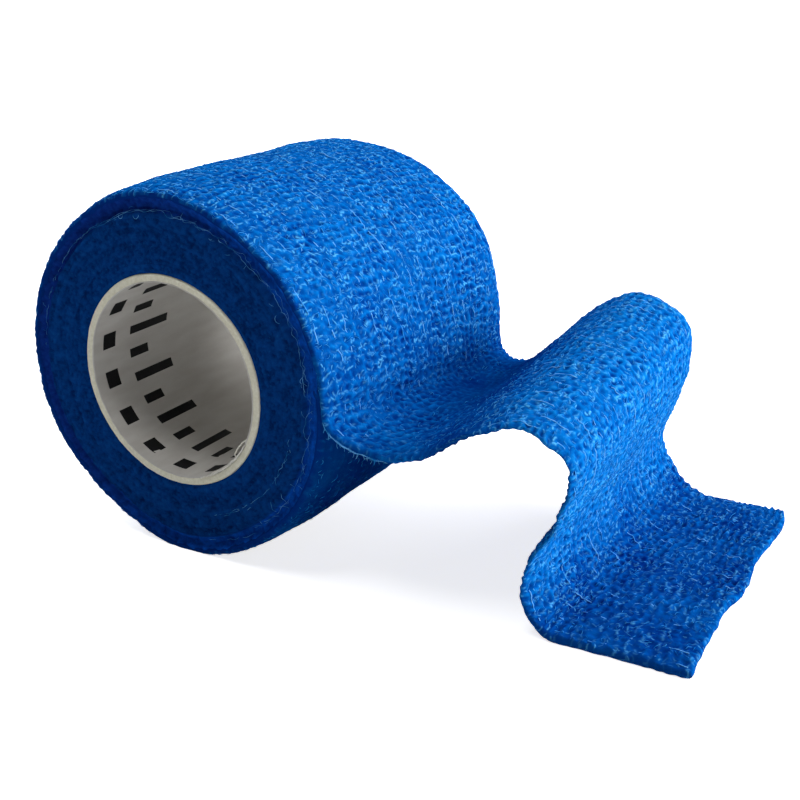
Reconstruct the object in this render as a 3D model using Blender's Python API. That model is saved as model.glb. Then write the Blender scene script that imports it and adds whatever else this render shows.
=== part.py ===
"""Cohesive bandage roll with its loose end drawn off.

One strip of crinkled elastic cloth, 50 mm wide, is wound on a short paper tube. Its last 90 mm have
been peeled from the roll: they dip, rise over a crest, fold back under it and lie flat on the table.

Units are metres, +Z is up. The origin is on the table, under the middle of the roll's axis.
+Y runs along the axis to the roll's back face and +X runs the way the loose end is drawn.
"""

import math

import bmesh
import bpy

# The strip.
CLOTH_WIDTH = 0.0500
CLOTH_THICKNESS = 0.0012  # relaxed, in the loose end
TURN_THICKNESS = 0.0008  # pressed, where the outermost turn leaves the roll
RELAXING_LENGTH = 0.15  # share of the loose end in which the thickness grows to the relaxed one

# The wound roll. Its axis is level, along Y.
AXIS_HEIGHT = 0.0270
FRONT_FACE_Y = -CLOTH_WIDTH / 2
ROOT_ANGLE_FRONT = math.radians(6.0)  # where the loose end leaves the roll, above the level
ROOT_ANGLE_BACK = math.radians(-4.0)

# The paper tube.
CORE_RADIUS = 0.0159
CORE_WALL = 0.0013
CORE_LENGTH = 0.0498
CORE_EDGE_ROUND = 0.0002
SEAT_GAP = 0.0003  # between the tube and the innermost turn

# How finely the shapes are cut.
TURN_STEPS = 90
CORE_STEPS = 72
STEPS_PER_ROW = 3
EDGE_ROUND_STEPS = 2

# The roll's outer radius at its two rims, going round it clockwise as the front face is seen, from
# just under the place where the loose end leaves it to just above. The outermost turn lies between.
RIMS = (
    # degrees round, front radius, back radius
    (0, 0.0260, 0.0277),
    (36, 0.0263, 0.0275),
    (66, 0.0266, 0.0275),
    (81, 0.0271, 0.0269),
    (96, 0.0275, 0.0266),  # where it meets the table
    (108, 0.0271, 0.0269),
    (121, 0.0265, 0.0275),
    (140, 0.0263, 0.0276),
    (160, 0.0267, 0.0276),
    (206, 0.0268, 0.0276),
    (236, 0.0267, 0.0275),
    (261, 0.0273, 0.0273),  # top
    (276, 0.0273, 0.0274),
    (300, 0.0268, 0.0283),
    (326, 0.0268, 0.0290),
    (346, 0.0267, 0.0283),
    (360, 0.0268, 0.0286),
)

# How much further the outer turn stands out between the rims: the roll is a slight barrel.
BARREL = (
    # share of the width, further out
    (0.00, 0.0000),
    (0.03, 0.0003),
    (0.10, 0.0006),
    (0.25, 0.0009),
    (0.42, 0.0008),
    (0.60, 0.0007),
    (0.76, 0.0005),
    (0.90, 0.0004),
    (0.97, 0.0002),
    (1.00, 0.0000),
)

# The roll's two faces: the outer turns are set back a little behind the inner ones.
FACE = (
    # share of the way from the tube to the rim, set back from the face
    (0.00, 0.0003),
    (0.07, 0.0001),
    (0.45, 0.0002),
    (0.80, 0.0000),
    (0.85, 0.0007),
)
RIM_SET_BACK = 0.0003
FACE_WAVE = 0.00012  # the turns' edges wander this much, three times round the roll
FACE_WAVES = 3

# The middle of the loose end, at its front and back edges, from the roll to the cut end.
LOOSE_END = (
    # x and height at the front edge, x and height at the back edge
    (0.0276, 0.0264, 0.0287, 0.0222),  # peels off
    (0.0312, 0.0240, 0.0308, 0.0204),
    (0.0358, 0.0228, 0.0343, 0.0206),  # bottom of the dip
    (0.0400, 0.0238, 0.0372, 0.0230),
    (0.0434, 0.0258, 0.0402, 0.0261),
    (0.0468, 0.0282, 0.0436, 0.0300),
    (0.0504, 0.0297, 0.0474, 0.0330),
    (0.0541, 0.0304, 0.0514, 0.0343),  # crest
    (0.0577, 0.0294, 0.0562, 0.0331),
    (0.0602, 0.0265, 0.0592, 0.0298),
    (0.0605, 0.0224, 0.0594, 0.0238),  # furthest reach of the crest
    (0.0585, 0.0173, 0.0579, 0.0178),
    (0.0553, 0.0120, 0.0562, 0.0125),
    (0.0537, 0.0067, 0.0576, 0.0073),  # folded back under the crest
    (0.0549, 0.0026, 0.0598, 0.0031),
    (0.0582, 0.0006, 0.0637, 0.0010),
    (0.0650, 0.0006, 0.0690, 0.0006),  # lies on the table
    (0.0712, 0.0006, 0.0730, 0.0006),
    (0.0769, 0.0006, 0.0768, 0.0006),  # cut end
)
SIDEWAYS_DRIFT = 0.0056  # the cut end lies this far behind the roll's own width
SPREAD = 0.0004  # relaxed, the cloth is this much wider at each edge
CUT_WAVE = 0.00035  # the cut end wavers this much, four times across the width
CUT_WAVES = 4
EDGE_RUFFLE = 0.0002  # the long edges waver this much, nine times along the loose end
EDGE_RUFFLES = 9

BLUE = (0.003, 0.110, 0.580, 1.0)
CREAM = (0.560, 0.520, 0.430, 1.0)


def clear_scene():
    for thing in list(bpy.data.objects):
        bpy.data.objects.remove(thing, do_unlink=True)


def make_material(name, colour, roughness):
    material = bpy.data.materials.new(name)
    material.use_nodes = True
    shader = material.node_tree.nodes["Principled BSDF"]
    shader.inputs["Base Color"].default_value = colour
    shader.inputs["Roughness"].default_value = roughness
    shader.inputs["Metallic"].default_value = 0.0
    return material


def between(low, high, share):
    return low + (high - low) * share


def eased(share):
    share = min(max(share, 0.0), 1.0)
    return share * share * (3.0 - 2.0 * share)


def along_spline(before, start, end, after, share):
    """A point on the smooth curve through four numbers, between the middle two."""
    slope_in = (end - before) / 2
    slope_out = (after - start) / 2
    square = share * share
    cube = square * share
    return (
        start * (2 * cube - 3 * square + 1)
        + slope_in * (cube - 2 * square + share)
        + end * (3 * square - 2 * cube)
        + slope_out * (cube - square)
    )


def read_off(table, column, place):
    """A column of a table whose first column rises, read off smoothly between its rows."""
    for row, following in zip(table, table[1:]):
        if place <= following[0]:
            share = eased((place - row[0]) / (following[0] - row[0]))
            return between(row[column], following[column], share)
    return table[-1][column]


def face_y(side, setback, angle):
    """Where a turn's edge lies along Y: side 0 is the front face and 1 the back face."""
    wander = FACE_WAVE * math.sin(FACE_WAVES * angle + side)
    if side == 0:
        return FRONT_FACE_Y + setback + wander
    return FRONT_FACE_Y + CLOTH_WIDTH - setback + wander


def root_angle(share):
    return between(ROOT_ANGLE_FRONT, ROOT_ANGLE_BACK, share)


def ring_point(radius, angle, y):
    """A point round the roll's axis. The table presses the roll flat where it would go below."""
    return (
        radius * math.cos(angle),
        y,
        max(AXIS_HEIGHT + radius * math.sin(angle), 0.0),
    )


def outer_point(step, share, bulge):
    """A point of the roll's outer surface, a number of steps round from the loose end's root."""
    turned = 360 * step / TURN_STEPS
    angle = root_angle(share) - math.radians(turned)
    radius = between(read_off(RIMS, 1, turned), read_off(RIMS, 2, turned), share) + bulge
    front = face_y(0, RIM_SET_BACK, angle)
    back = face_y(1, RIM_SET_BACK, angle)
    return ring_point(radius, angle, between(front, back, share))


def loose_end_line(share, root):
    """The loose end's middle line at a share of the width: (x, height) from the root to the cut."""
    rows = [root]
    for front_x, front_height, back_x, back_height in LOOSE_END:
        rows.append((between(front_x, back_x, share), between(front_height, back_height, share)))
    first, last = rows[0], rows[-1]
    rows.insert(0, (2 * first[0] - rows[1][0], first[1] + (first[1] - rows[1][1])))
    rows.append((2 * last[0] - rows[-2][0], 2 * last[1] - rows[-2][1]))
    line = []
    for i in range(1, len(rows) - 2):
        for step in range(STEPS_PER_ROW):
            part = step / STEPS_PER_ROW
            line.append(
                tuple(along_spline(*(rows[i + k][axis] for k in (-1, 0, 1, 2)), part) for axis in (0, 1))
            )
    line.append(last)
    return line


def loose_end_columns(share, top_root, under_root):
    """The loose end's upper and lower points at a share of the width, without the root's own."""
    middle_root = ((top_root[0] + under_root[0]) / 2, (top_root[2] + under_root[2]) / 2)
    line = loose_end_line(share, middle_root)
    upper, lower = [], []
    last = len(line) - 1
    for i in range(1, last + 1):
        along = i / last
        x, height = line[i]
        before, after = line[i - 1], line[min(i + 1, last)]
        run, rise = after[0] - before[0], after[1] - before[1]
        length = math.hypot(run, rise)
        half = between(TURN_THICKNESS, CLOTH_THICKNESS, eased(along / RELAXING_LENGTH)) / 2
        ruffle = EDGE_RUFFLE * math.sin(2 * math.pi * EDGE_RUFFLES * along)
        spread = (SPREAD + ruffle) * (2 * share - 1) * eased(along * 4)
        y = top_root[1] + SIDEWAYS_DRIFT * along + spread
        if i == last:
            x += CUT_WAVE * math.sin(2 * math.pi * CUT_WAVES * share)
        across, up = -rise / length * half, run / length * half
        upper.append((x + across, y, max(height + up, CLOTH_THICKNESS * eased(along * 2))))
        lower.append((x - across, y, max(height - up, 0.0)))
    return upper, lower


def bandage_mesh():
    """The wound roll and its loose end: one strip of cloth, so one closed body."""
    shell = bmesh.new()
    stations = len(BARREL)
    outer = [
        [shell.verts.new(outer_point(step, share, bulge)) for share, bulge in BARREL]
        for step in range(TURN_STEPS + 1)
    ]
    upper = [outer[TURN_STEPS]]
    lower = [outer[0]]
    columns = [
        loose_end_columns(BARREL[j][0], tuple(outer[TURN_STEPS][j].co), tuple(outer[0][j].co))
        for j in range(stations)
    ]
    for i in range(len(columns[0][0])):
        upper.append([shell.verts.new(columns[j][0][i]) for j in range(stations)])
        lower.append([shell.verts.new(columns[j][1][i]) for j in range(stations)])

    def skin(rows):
        for near, far in zip(rows, rows[1:]):
            for j in range(len(near) - 1):
                shell.faces.new((near[j], far[j], far[j + 1], near[j + 1]))

    skin(outer)
    skin(upper)
    skin(lower)
    skin([upper[-1], lower[-1]])
    for j in (0, stations - 1):
        skin([[top[j], under[j]] for top, under in zip(upper, lower)])
    rims = [face_rings(shell, side, [row[-side] for row in outer]) for side in (0, 1)]
    skin([[front, back] for front, back in zip(*rims)] + [[rims[0][0], rims[1][0]]])
    return finished_mesh(shell, "bandage")


def face_rings(shell, side, rim):
    """One face of the roll, from its rim to the tube's seat. Returns the seat's ring of points."""
    hole = CORE_RADIUS + SEAT_GAP
    rings = []
    for share, setback in FACE:
        ring = []
        for step in range(TURN_STEPS):
            angle = root_angle(side) - 2 * math.pi * step / TURN_STEPS
            x, z = rim[step].co.x, rim[step].co.z - AXIS_HEIGHT
            radius = between(hole, math.hypot(x, z), share)
            y = face_y(side, setback, angle)
            ring.append(shell.verts.new(ring_point(radius, angle, y)))
        rings.append(ring)
    for inner, outer in zip(rings, rings[1:]):
        for step in range(TURN_STEPS):
            following = (step + 1) % TURN_STEPS
            shell.faces.new((inner[step], inner[following], outer[following], outer[step]))
    last = rings[-1]
    for step in range(TURN_STEPS - 1):
        shell.faces.new((last[step], last[step + 1], rim[step + 1], rim[step]))
    shell.faces.new((last[-1], last[0], rim[0], rim[TURN_STEPS], rim[TURN_STEPS - 1]))
    return rings[0]


def core_mesh():
    """The paper tube, turned about its own Z, with slightly rounded ends."""
    inner = CORE_RADIUS - CORE_WALL
    corners = (
        (inner, -1, 1, 1),
        (CORE_RADIUS, -1, -1, 1),
        (CORE_RADIUS, 1, -1, -1),
        (inner, 1, 1, -1),
    )
    profile = []
    for radius, end, inwards, along in corners:
        centre_r = radius + inwards * CORE_EDGE_ROUND
        centre_z = end * CORE_LENGTH / 2 + along * CORE_EDGE_ROUND
        start = {(1, 1): 180, (-1, 1): 270, (-1, -1): 0, (1, -1): 90}[(inwards, along)]
        for step in range(EDGE_ROUND_STEPS + 1):
            angle = math.radians(start + 90 * step / EDGE_ROUND_STEPS)
            profile.append(
                (
                    centre_r + CORE_EDGE_ROUND * math.cos(angle),
                    centre_z + CORE_EDGE_ROUND * math.sin(angle),
                )
            )
    shell = bmesh.new()
    rings = []
    for step in range(CORE_STEPS):
        angle = 2 * math.pi * step / CORE_STEPS
        rings.append(
            [shell.verts.new((r * math.cos(angle), r * math.sin(angle), z)) for r, z in profile]
        )
    for step in range(CORE_STEPS):
        ring, following = rings[step], rings[(step + 1) % CORE_STEPS]
        for i in range(len(profile)):
            k = (i + 1) % len(profile)
            shell.faces.new((ring[i], following[i], following[k], ring[k]))
    return finished_mesh(shell, "core")


def finished_mesh(shell, name):
    bmesh.ops.recalc_face_normals(shell, faces=shell.faces)
    bmesh.ops.triangulate(shell, faces=shell.faces)
    mesh = bpy.data.meshes.new(name)
    shell.to_mesh(mesh)
    shell.free()
    mesh.shade_smooth()
    mesh.set_sharp_from_angle(angle=math.radians(40))
    return mesh


def place(name, mesh, material, location=(0, 0, 0), rotation=(0, 0, 0)):
    thing = bpy.data.objects.new(name, mesh)
    thing.location = location
    thing.rotation_euler = rotation
    thing.data.materials.append(material)
    bpy.context.scene.collection.objects.link(thing)
    return thing


def main():
    clear_scene()
    cloth = make_material("blue_crepe_cloth", BLUE, 0.85)
    paper = make_material("cream_paper_tube", CREAM, 0.6)
    place("bandage", bandage_mesh(), cloth)
    place("core", core_mesh(), paper, (0, 0, AXIS_HEIGHT), (math.radians(-90), 0, 0))


main()
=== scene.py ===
"""Looks of the cohesive bandage roll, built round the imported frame.

One strip of crinkled elastic cloth is wound on a short paper tube, and its loose end lies beside it.
Lengths are in millimetres until a mesh is made. +Z is up, the roll's axis runs along Y, and the
loose end is drawn off towards +X.
"""

import math

import bpy
import numpy as np
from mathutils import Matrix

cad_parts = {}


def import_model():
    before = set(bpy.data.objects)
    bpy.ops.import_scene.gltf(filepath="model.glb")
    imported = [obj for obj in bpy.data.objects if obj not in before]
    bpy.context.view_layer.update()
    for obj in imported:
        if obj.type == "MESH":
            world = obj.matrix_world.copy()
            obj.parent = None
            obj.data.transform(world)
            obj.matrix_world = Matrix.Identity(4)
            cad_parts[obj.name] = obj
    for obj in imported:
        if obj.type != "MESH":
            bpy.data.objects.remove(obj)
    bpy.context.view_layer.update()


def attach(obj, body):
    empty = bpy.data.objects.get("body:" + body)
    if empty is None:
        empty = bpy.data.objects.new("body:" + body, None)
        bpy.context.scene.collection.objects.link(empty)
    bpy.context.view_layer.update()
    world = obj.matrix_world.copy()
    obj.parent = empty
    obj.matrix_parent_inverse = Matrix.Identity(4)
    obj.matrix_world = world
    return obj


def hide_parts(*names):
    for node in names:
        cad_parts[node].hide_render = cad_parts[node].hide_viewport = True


MM = 0.001

# The strip, as in the part's source.
CLOTH_WIDTH = 50.0
CLOTH_THICKNESS = 1.2
TURN_THICKNESS = 0.8
RELAXING_LENGTH = 0.15
AXIS_HEIGHT = 27.0
FRONT_FACE_Y = -25.0
ROOT_ANGLE_FRONT = math.radians(6.0)
ROOT_ANGLE_BACK = math.radians(-4.0)
CORE_RADIUS = 15.9
CORE_WALL = 1.3
CORE_LENGTH = 49.8
SEAT_GAP = 0.3
BORE_RADIUS = CORE_RADIUS - CORE_WALL

TABLE_GAP = 0.02  # the cloth's points are at least this far above the table
STRAND_GAP = 0.01  # and those of fibres and threads this far
OUTWARDS = (-1.0, 1.0)  # along Y, at the front and at the back

# The roll's outer radius at its rims, going round clockwise from under the loose end's root.
RIMS = (
    # degrees round, front radius, back radius
    (0, 26.0, 27.7),
    (36, 26.3, 27.5),
    (66, 26.6, 27.5),
    (81, 27.1, 26.9),
    (96, 27.5, 26.6),
    (108, 27.1, 26.9),
    (121, 26.5, 27.5),
    (140, 26.3, 27.6),
    (160, 26.7, 27.6),
    (206, 26.8, 27.6),
    (236, 26.7, 27.5),
    (261, 27.3, 27.3),
    (276, 27.3, 27.4),
    (300, 26.8, 28.3),
    (326, 26.8, 29.0),
    (346, 26.7, 28.3),
    (360, 26.8, 28.6),
)

BARREL = (
    # share of the width, further out
    (0.00, 0.0),
    (0.03, 0.3),
    (0.10, 0.6),
    (0.25, 0.9),
    (0.42, 0.8),
    (0.60, 0.7),
    (0.76, 0.5),
    (0.90, 0.4),
    (0.97, 0.2),
    (1.00, 0.0),
)

# The faces: the turns outside the ring are set back behind the inner ones.
FACE = (
    # share of the way from the tube to the rim, set back from the face
    (0.00, 0.30),
    (0.07, 0.10),
    (0.45, 0.20),
    (0.70, 0.00),
    (0.755, 0.05),
    (0.795, 0.70),
    (1.00, 0.40),
)
RIM_SET_BACK = 0.3
FACE_WAVE = 0.12
FACE_WAVES = 3
FACE_HOLE = CORE_RADIUS + SEAT_GAP - 0.25  # the face reaches over the seat's edge
FACE_INSIDE_RIM = 0.62
FACE_GRIDS = ((108, 620), (84, 420))  # rings and steps of the front and the back face
RING_SHOWN = (1.0, 0.55)  # how much the ring step's own colour shows on each face
WOUND_PITCH = 0.64  # from turn to turn
FACE_SEAM_AT = 352.0  # degrees round, where the rim eases back to its start
RING_FROM = 0.785  # share of the way to the rim, where the ring step's colour starts

# The outermost turn's edge, carried on into the face.
LIP = ((0.13, 0.05), (0.27, 0.02), (0.42, -0.16), (0.55, -0.45), (0.75, -0.85))  # depth, further out
LIP_COLUMN = 0.2  # how far apart its columns are in the cloth's pattern

# The middle of the loose end at its front and back edges, from the roll to the cut end.
LOOSE_END = (
    # x and height at the front edge, x and height at the back edge
    (27.0, 25.9, 28.7, 22.2),
    (29.8, 23.5, 30.8, 20.4),
    (35.4, 22.6, 34.3, 20.6),
    (40.0, 23.8, 37.2, 23.0),
    (43.4, 25.8, 40.2, 26.1),
    (46.8, 28.2, 43.6, 30.0),
    (50.4, 29.7, 47.4, 33.0),
    (54.1, 30.4, 51.4, 34.3),
    (57.7, 29.4, 56.2, 33.1),
    (60.4, 26.5, 59.2, 29.8),
    (60.7, 22.8, 59.5, 24.6),
    (59.3, 19.3, 58.7, 20.4),
    (58.4, 16.5, 57.6, 16.8),
    (55.6, 12.4, 56.4, 13.0),
    (54.4, 9.0, 56.4, 9.8),
    (54.4, 5.6, 57.7, 6.6),
    (55.9, 2.3, 60.0, 3.0),
    (58.7, 0.6, 63.7, 1.0),
    (65.0, 0.6, 69.0, 0.6),
    (71.2, 0.6, 73.0, 0.6),
    (76.9, 0.6, 76.8, 0.6),
)
ROOT_ROWS = (336.0, 344.0, 352.0, 360.0)  # degrees round, of the rows that come before these
ROOT_ROW_STEP = 8.0
ROOT_ROW = 3.0  # the row at 360 degrees, where the loose end leaves the roll
CUT_FROM_ROW = 12  # the cut end's waves move only the rows after this
COURSE_POINTS = 900
SIDEWAYS_DRIFT = 5.6
SPREAD = 0.4
END_SPREAD = 1.2  # how much further back the back edge ends
FRONT_BULGE = 0.7  # how far the front edge stands out where it leaves the roll
FREE_FROM = 40.0  # distance from the root past which the top rises with the underside
LYING_FROM = 62.0  # distance from the root past which the strip comes to lie on the table

# The cut end is wavy: how far it stands out beyond the straight cut, from the front edge to the back.
CUT_END = (
    (0.00, 0.40),
    (0.08, 0.00),
    (0.15, -0.25),
    (0.26, -0.30),
    (0.35, -0.50),
    (0.43, 0.20),
    (0.52, 0.30),
    (0.63, -0.30),
    (0.71, -0.35),
    (0.80, 0.05),
    (0.88, 0.30),
    (0.95, -0.05),
    (1.00, -0.80),
)

# Small nicks in the loose end's back edge.
NICKS = (
    # distance from the root, depth, half width
    (27.4, 0.45, 0.35),
    (28.7, 0.35, 0.30),
    (39.8, 0.80, 0.35),
    (43.5, 0.30, 0.60),
    (59.6, 0.60, 0.80),
)

# How finely the cloth is cut.
STEP_ALONG = 0.33
STEP_ACROSS = 0.33
EDGE_ROUND = 0.45
EDGE_THINNED = 0.45  # share of the thickness left at the loose end's long edges
EDGE_COLUMNS = (0.03, 0.10, 0.21, 0.35)
SHEET_FROM = 348.0  # degrees round, where the loose end's own sheet begins in the outermost turn
SEAM_AT = 352.5
TURN_STEP_RADIUS = 27.4  # radius at which the outermost turn's rows are a step apart
TURN_LENGTH_RADIUS = 27.6  # radius at which lengths in the outermost turn are measured
SIDE_ROWS = (4.0, 3.5)  # middle and half the distance of the two edges' rows in the noise
UNDERSIDE_OFFSET = 200.0  # keeps the underside's pattern apart from the top's

# The cloth is stretched on the roll and over the crest, and relaxed where it hangs or lies free.
# Its darkness is painted shade: in the deeper pits where it is relaxed, under the loose end on the roll's
# lower right, and in the valley and dip beside the roll, where less light lint shows too. Over the crest,
# where it is stretched, it is painted lighter.
RELAXED, DARKNESS, LINT = 1, 2, 3  # columns of the table
STATE = (
    # distance from the loose end's root, how relaxed, how much painted shade, how much light lint shows
    (-200.0, 0.0, 1.30, 0.08),
    (-165.0, 0.0, 1.20, 0.10),
    (-135.0, 0.0, 0.60, 0.55),
    (-115.0, 0.0, 0.40, 1.00),
    (-90.0, 0.0, 0.38, 1.00),
    (-40.0, 0.0, 0.38, 1.00),
    (-12.0, 0.0, 0.22, 1.00),
    (-3.0, 0.0, 0.45, 0.95),
    (3.0, 0.3, 0.80, 0.45),
    (8.0, 0.6, 0.80, 0.10),
    (14.0, 0.6, 1.25, 0.14),
    (19.0, 0.4, 1.40, 0.35),
    (24.0, 0.3, 0.95, 0.70),
    (31.0, 0.1, 0.05, 1.00),
    (38.0, 0.0, -0.12, 1.00),
    (52.0, 0.0, -0.24, 1.00),
    (60.0, 0.2, -0.18, 1.00),
    (64.0, 0.5, 0.15, 0.95),
    (68.0, 0.8, 0.60, 0.85),
    (73.0, 1.0, 0.85, 0.75),
    (90.0, 1.0, 0.75, 0.80),
)
# The painted shade left where the table's shade is lifted, as near the dip's front edge.
UNSHADED_DARK = 0.18

RELIEF = 0.22
PIT_PITCH = 1.30
PIT_SPREAD = 0.25
THREAD_PITCH = 3.0
THREAD_FIRST = 1.1
THREAD_INSET = 0.6
THREAD_RADIUS = 0.075
THREAD_STRIDE = 1.5  # in rows of the cloth
LINT_STEPS = 5
LINT_ACROSS = 0.62  # fibres whose lot is below this lie across the strip
LINT_ALONG = 0.85  # and those above this along it

# Cross-sections of thin pieces, as sideways and upwards shares of the radius.
FLAT_TOPPED = ((1.0, -0.25), (0.72, 0.30), (-0.72, 0.30), (-1.0, -0.25))
THREE_SIDED = ((0.87, -0.5), (0.0, 1.0), (-0.87, -0.5))
ROUND = tuple((math.cos(2 * math.pi * k / 5), math.sin(2 * math.pi * k / 5)) for k in range(5))

# The tube's inner ply. Its lead is how far along the tube its spiral goes in one turn.
PLY_RADIUS = BORE_RADIUS + 0.02
PLY_LEAD = 70.0
PLY_THICKNESS = 0.16
PLY_STEPS = 420
TUBE_STEPS = 300

# Where the inner ply's front edge is torn, and its shreds.
TORN_AT = math.radians(312.0)
TORN_SPAN = math.radians(16.0)
TORN_SHREDS = (
    # first and last degrees, how far in from the bore, how far out along Y, radius, seed
    (321, 337, 0.62, 0.10, 0.11, 1),
    (319, 333, -0.05, 0.16, 0.10, 2),
    (300, 323, 0.10, 0.10, 0.13, 3),
    (288, 304, 0.05, 0.04, 0.10, 4),
    (296, 316, 0.28, -0.12, 0.09, 5),
)

# Plain printed marks on the inner ply: degrees round, distance in from the front, degrees long, width.
MARK_SQUARES = tuple((start, 2.2, 10.0, 2.6) for start in range(20, 380, 24))
MARK_BARS = tuple((start, 8.0, 5.5, 8.5 if start % 30 else 4.0) for start in range(15, 375, 15))
MARK_POINTS = 9
MARK_LIFT = 0.02

# The frayed threads on the front face, between the set-back outer turns and the others.
FRAYED_RING = (
    # degrees round the axis from +X, radius
    (-52, 24.5),
    (-37, 24.2),
    (-23, 24.1),
    (-14, 23.9),
    (-5, 23.6),
    (4, 23.9),
    (20, 24.1),
    (33, 24.4),
    (45, 24.2),
    (60, 24.3),
    (80, 24.4),
    (99, 24.7),
    (115, 24.1),
    (125, 24.4),
    (150, 24.7),
    (176, 24.9),
)
INNER_ARC = ((-71, 20.7), (-40, 21.2), (-11, 21.4))
OUTER_ARC = ((-79, 25.0), (-67, 25.1), (-56, 25.0))
FRAYED_CURLS = (
    # degrees round the axis, radius, heading from the turn's own in degrees, length, bend in degrees
    (31, 23.6, 70, 1.5, -130),
    (99, 24.5, 60, 1.7, 200),
    (104, 24.6, 110, 1.5, -210),
    (-33, 21.9, 20, 1.3, 40),
    (-37, 24.2, 10, 1.7, 60),
    (-40, 23.9, -25, 1.4, -50),
    (-43, 24.3, 35, 1.9, 40),
    (-47, 24.4, 15, 1.5, -60),
    (-50, 24.0, -30, 1.2, 40),
    (-20, 24.3, 160, 1.2, 80),
    (10, 23.7, 30, 1.1, -90),
    (62, 24.5, -20, 1.6, 50),
)
FACE_STRANDS = (
    # arc, seed, further out, wander, how much is hidden, radius
    (FRAYED_RING, 401, 0.0, 0.22, 0.08, 0.026),
    (FRAYED_RING, 411, 0.16, 0.30, 0.48, 0.022),
    (INNER_ARC, 431, 0.0, 0.22, -0.15, 0.021),
    (INNER_ARC, 441, 0.15, 0.4, 0.25, 0.024),
    (OUTER_ARC, 451, 0.0, 0.22, 0.05, 0.028),
)

# The frayed threads along the loose end's near edge: first and last distance from the root.
EDGE_STRANDS = ((2.6, 6.0), (3.4, 7.6), (4.6, 9.0), (5.2, 11.0), (8.0, 12.0), (6.5, 8.5))

# How many short thread ends stick out on the face and along the near edge.
FACE_ENDS = 36
EDGE_ENDS = 26

# The cloth's colours, from its pits to its lint, and those of the faces and the ring step.
# The blues from pit to crest are painted shade in the pits and painted light on the crests.
PIT_BLUE = (0.0002, 0.030, 0.220)
DEEP_BLUE = (0.0005, 0.074, 0.365)
CLOTH_BLUE = (0.0010, 0.136, 0.520)
CREST_BLUE = (0.0030, 0.235, 0.690)
# Light lint, which also serves for the painted glints of shiny fibres.
LINT_AND_GLINT_BLUE = (0.1100, 0.540, 1.000)
RIM_BLUE = (0.0012, 0.030, 0.210)
FACE_DARK = (0.0009, 0.020, 0.116)
FACE_BLUE = (0.0019, 0.044, 0.225)
FACE_LIGHT = (0.0040, 0.072, 0.330)
# The ring step's colours: painted shade on its side away from the lights, painted light on its side
# towards them.
RING_SHADED = (0.0050, 0.036, 0.265)
RING_LIT = (0.0025, 0.080, 0.490)
TONE_BLUE = (0.002, 0.18, 0.60)
SPECK_BLUE = (0.010, 0.11, 0.36)
RIM_INSET = 0.35  # how far inside the strip's edge the rim's darker colour starts

# The stage, the camera and the lights, in metres.
FLOOR_GLOW = 0.79
FLOOR_HALF = 6.0
SKY = 0.08

CAMERA_LENS = 54.0
CAMERA_SENSOR = 36.0
CAMERA_AZIMUTH = math.radians(30.315)
CAMERA_ELEVATION = math.radians(21.662)
CAMERA_DISTANCE = 0.18305
CAMERA_TARGET = (0.023683, 0.0, 0.020474)

LIGHT_DISTANCE = 0.8
LIGHTS = (
    # name, azimuth and elevation in degrees, size, power
    ("low_right", 112, 14, 0.5, 5.2),
    ("right", 126, 30, 0.5, 4.5),
    ("left", -106, 45, 0.5, 3.0),
    ("overhead", -15, 74, 0.3, 1.8),
)


# ---------- numbers


def eased(share):
    """A share from 0 to 1, with a soft start and end."""
    share = np.clip(share, 0.0, 1.0)
    return share * share * (3.0 - 2.0 * share)


def between(low, high, share):
    return low + (high - low) * share


def unit(vectors):
    return vectors / np.maximum(np.linalg.norm(vectors, axis=-1, keepdims=True), 1e-9)


def hermite(start, end, slope_in, slope_out, t):
    """A smooth curve from a start to an end, with its slopes there."""
    square, cube = t * t, t * t * t
    return (
        start * (2 * cube - 3 * square + 1)
        + slope_in * (cube - 2 * square + t)
        + end * (3 * square - 2 * cube)
        + slope_out * (cube - square)
    )


def read_off(table, column, places):
    """A column of a table whose first column rises, as a smooth curve through its rows."""
    rows = np.array(table, float)
    knots, values = rows[:, 0], rows[:, column]
    slopes = np.gradient(values, knots)
    places = np.clip(places, knots[0], knots[-1])
    i = np.clip(np.searchsorted(knots, places) - 1, 0, len(knots) - 2)
    width = knots[i + 1] - knots[i]
    t = (places - knots[i]) / width
    return hermite(values[i], values[i + 1], slopes[i] * width, slopes[i + 1] * width, t)


def lattice(a, b, seed):
    """A fixed number from -1 to 1 for each corner of a grid."""
    mixed = (a * 374761393 + b * 668265263 + seed * 974634777) & 0xFFFFFFFF
    mixed = ((mixed ^ (mixed >> 13)) * 1274126177) & 0xFFFFFFFF
    return ((mixed ^ (mixed >> 16)) & 0xFFFF) / 32767.5 - 1.0


def noise(x, y, seed):
    """Smooth noise from -1 to 1 over a grid of unit squares."""
    x, y = np.broadcast_arrays(x, y)
    a, b = np.floor(x).astype(np.int64), np.floor(y).astype(np.int64)
    s, t = eased(x - a), eased(y - b)
    low = lattice(a, b, seed) * (1 - s) + lattice(a + 1, b, seed) * s
    high = lattice(a, b + 1, seed) * (1 - s) + lattice(a + 1, b + 1, seed) * s
    return low * (1 - t) + high * t


def cells(x, y, seed):
    """Distances to the nearest and the second nearest of one point in each unit square."""
    a0, b0 = np.floor(x).astype(np.int64), np.floor(y).astype(np.int64)
    first = np.full(x.shape, 9.0)
    second = np.full(x.shape, 9.0)
    for da in (-1, 0, 1):
        for db in (-1, 0, 1):
            a, b = a0 + da, b0 + db
            px = a + 0.5 + PIT_SPREAD * lattice(a, b, seed)
            py = b + 0.5 + PIT_SPREAD * lattice(a, b, seed + 1)
            distance = np.hypot(px - x, py - y)
            second = np.minimum(second, np.maximum(first, distance))
            first = np.minimum(first, distance)
    return first, second


# ---------- places


def round_axis(radius, angle, y):
    """Points round the roll's axis."""
    x, z = radius * np.cos(angle), AXIS_HEIGHT + radius * np.sin(angle)
    return np.stack(np.broadcast_arrays(x, y, z), axis=-1)


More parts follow.
